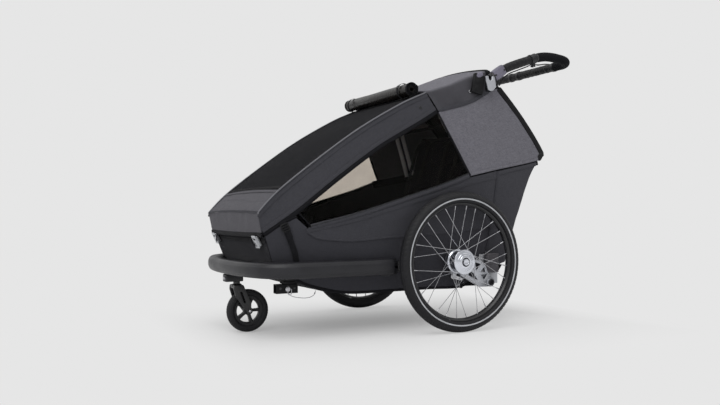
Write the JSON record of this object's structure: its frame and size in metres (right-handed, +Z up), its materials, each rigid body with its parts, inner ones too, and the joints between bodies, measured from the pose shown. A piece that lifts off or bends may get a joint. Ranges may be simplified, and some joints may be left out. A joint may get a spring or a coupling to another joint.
{
  "type": "bicycle trailer",
  "caption": "Two-seat child bicycle trailer with sprung rear wheels, a swivelling stroller wheel, a folding cover frame and a tilting push bar.",
  "frame": {"origin": "on the ground under the middle of the trailer's length and width", "axes": "+Z up, the trailer faces -Y, its left side is at +X"},
  "size_m": [0.851, 1.3858, 1.0549],
  "materials": {
    "frame_tube": "satin anodised tube",
    "bumper_plastic": "fine-grained moulded bumper",
    "body_fabric": "anthracite coated weave",
    "light_fabric": "mid-grey melange weave",
    "dark_fabric": "black coated weave",
    "screen_mesh": "fine black insect mesh",
    "tinted_window": "smoke-tinted soft film",
    "rolled_film": "rolled clear film",
    "dark_plastic": "moulded satin",
    "grey_rubber": "smooth grey elastomer",
    "black_rubber": "matt cable jacket",
    "tyre_rubber": "matt tread rubber",
    "grip_foam": "closed-cell foam",
    "black_metal": "aluminium with a black powder coat",
    "silver_metal": "polished and satin aluminium",
    "steel": "brushed stainless"
  },
  "bodies": {
    "chassis": {"lower_frame": "frame_tube", "bumper": "bumper_plastic", "floor_pan": "dark_fabric", "side_panel_left": "body_fabric", "side_panel_right": "body_fabric", "rear_panel": "body_fabric", "side_window_left": "tinted_window", "side_window_right": "tinted_window", "hood_hook_left": "silver_metal", "hood_hook_right": "silver_metal", "suspension_damper_left": "grey_rubber", "suspension_damper_right": "grey_rubber", "pivot_bolt_left": "dark_plastic", "pivot_bolt_right": "dark_plastic", "hitch_bracket": "dark_plastic", "hitch_lanyard": "steel", "caster_socket": "dark_plastic", "seat_cushion": "dark_fabric", "seat_back": "dark_fabric", "brake_cable_left": "black_rubber", "brake_cable_right": "black_rubber"},
    "hitch_pin": {"hitch_pin": "steel"},
    "caster_button": {"caster_button": "steel"},
    "swing_arm_left": {"swing_arm_left": "silver_metal", "wheel_axle_left": "steel"},
    "swing_arm_right": {"swing_arm_right": "silver_metal", "wheel_axle_right": "steel"},
    "brake_arm_left": {"brake_arm_left": "steel"},
    "brake_arm_right": {"brake_arm_right": "steel"},
    "wheel_left": {"tyre_left": "tyre_rubber", "rim_left": "black_metal", "spoked_hub_left": "silver_metal"},
    "wheel_right": {"tyre_right": "tyre_rubber", "rim_right": "black_metal", "spoked_hub_right": "silver_metal"},
    "axle_button_left": {"axle_button_left": "silver_metal"},
    "axle_button_right": {"axle_button_right": "silver_metal"},
    "caster_fork": {"caster_fork": "black_metal", "caster_axle": "steel"},
    "caster_wheel": {"caster_rim": "dark_plastic", "caster_tyre": "tyre_rubber"},
    "upper_body": {"upper_frame": "frame_tube", "side_band_left": "body_fabric", "side_band_right": "body_fabric", "front_screen": "screen_mesh", "nose_hood": "body_fabric", "roof": "light_fabric", "quarter_panel_left": "light_fabric", "quarter_panel_right": "light_fabric", "rear_flap": "dark_fabric", "rain_cover_roll": "rolled_film", "bar_hinge_left": "dark_plastic", "bar_hinge_right": "dark_plastic"},
    "roll_hoop": {"roll_hoop": "frame_tube"},
    "push_bar": {"push_bar": "black_metal", "foam_grip": "grip_foam", "bar_brake_cable": "black_rubber"},
    "brake_lever": {"brake_lever": "black_metal"},
    "latch_left": {"latch_tab_left": "silver_metal"},
    "latch_right": {"latch_tab_right": "silver_metal"}
  },
  "joints": [
    {"name": "suspension_left", "type": "hinge", "parent": "chassis", "child": "swing_arm_left", "pos_m": [0.342, 0.24, 0.166], "axis": [1, 0, 0], "range_deg": [-8, 0], "stiffness_Nm_per_rad": 400, "springref_deg": 5.73},
    {"name": "suspension_right", "type": "hinge", "parent": "chassis", "child": "swing_arm_right", "pos_m": [-0.342, 0.24, 0.166], "axis": [1, 0, 0], "range_deg": [-8, 0], "stiffness_Nm_per_rad": 400, "springref_deg": 5.73},
    {"name": "wheel_spin_left", "type": "hinge", "parent": "swing_arm_left", "child": "wheel_left", "pos_m": [0.392, 0.077, 0.25], "axis": [1, 0, 0], "continuous": true},
    {"name": "wheel_spin_right", "type": "hinge", "parent": "swing_arm_right", "child": "wheel_right", "pos_m": [-0.392, 0.077, 0.25], "axis": [1, 0, 0], "continuous": true},
    {"name": "axle_button_push_left", "type": "slide", "parent": "swing_arm_left", "child": "axle_button_left", "axis": [-1, 0, 0], "range_m": [0, 0.0035], "stiffness_N_per_m": 800, "springref_m": -0.002},
    {"name": "axle_button_push_right", "type": "slide", "parent": "swing_arm_right", "child": "axle_button_right", "axis": [1, 0, 0], "range_m": [0, 0.0035], "stiffness_N_per_m": 800, "springref_m": -0.002},
    {"name": "brake_arm_pull_left", "type": "hinge", "parent": "swing_arm_left", "child": "brake_arm_left", "pos_m": [0.354, 0.065, 0.195], "axis": [1, 0, 0], "range_deg": [0, 15]},
    {"name": "brake_arm_pull_right", "type": "hinge", "parent": "swing_arm_right", "child": "brake_arm_right", "pos_m": [-0.354, 0.065, 0.195], "axis": [1, 0, 0], "range_deg": [0, 15]},
    {"name": "caster_swivel", "type": "hinge", "parent": "chassis", "child": "caster_fork", "pos_m": [0, -0.626, 0.077], "axis": [0, 0, 1], "continuous": true},
    {"name": "caster_spin", "type": "hinge", "parent": "caster_fork", "child": "caster_wheel", "pos_m": [0, -0.586, 0.077], "axis": [1, 0, 0], "continuous": true},
    {"name": "caster_button_push", "type": "slide", "parent": "chassis", "child": "caster_button", "axis": [0, 1, 0], "range_m": [0, 0.0015], "stiffness_N_per_m": 800, "springref_m": -0.002},
    {"name": "hitch_pin_pull", "type": "slide", "parent": "chassis", "child": "hitch_pin", "axis": [1, 0, 0], "range_m": [0, 0.045]},
    {"name": "frame_fold", "type": "hinge", "parent": "chassis", "child": "upper_body", "pos_m": [0, -0.563, 0.462], "axis": [1, 0, 0], "range_deg": [-24, 0], "deforming": ["side_window_left", "side_window_right", "quarter_panel_left", "quarter_panel_right", "rear_flap", "rear_panel", "seat_back"]},
    {"name": "roll_hoop_fold", "type": "hinge", "parent": "chassis", "child": "roll_hoop", "pos_m": [0, 0.24, 0.57], "axis": [1, 0, 0], "range_deg": [-120, 0]},
    {"name": "push_bar_tilt", "type": "hinge", "parent": "upper_body", "child": "push_bar", "pos_m": [0, 0.267, 0.93], "axis": [1, 0, 0], "range_deg": [-40, 60]},
    {"name": "brake_lever_pull", "type": "hinge", "parent": "push_bar", "child": "brake_lever", "pos_m": [0.312, 0.481, 0.9985], "axis": [1, 0, 0], "range_deg": [0, 5], "stiffness_Nm_per_rad": 6, "springref_deg": -5.73},
    {"name": "latch_slide_left", "type": "slide", "parent": "upper_body", "child": "latch_left", "axis": [0, 0, 1], "range_m": [0, 0.008], "stiffness_N_per_m": 400, "springref_m": -0.004},
    {"name": "latch_slide_right", "type": "slide", "parent": "upper_body", "child": "latch_right", "axis": [0, 0, 1], "range_m": [0, 0.008], "stiffness_N_per_m": 400, "springref_m": -0.004}
  ],
  "couplings": [
    {"joint": "roll_hoop_fold", "follows": "frame_fold", "ratio": 5},
    {"joint": "brake_arm_pull_left", "follows": "brake_lever_pull", "ratio": 3},
    {"joint": "brake_arm_pull_right", "follows": "brake_lever_pull", "ratio": 3}
  ]
}
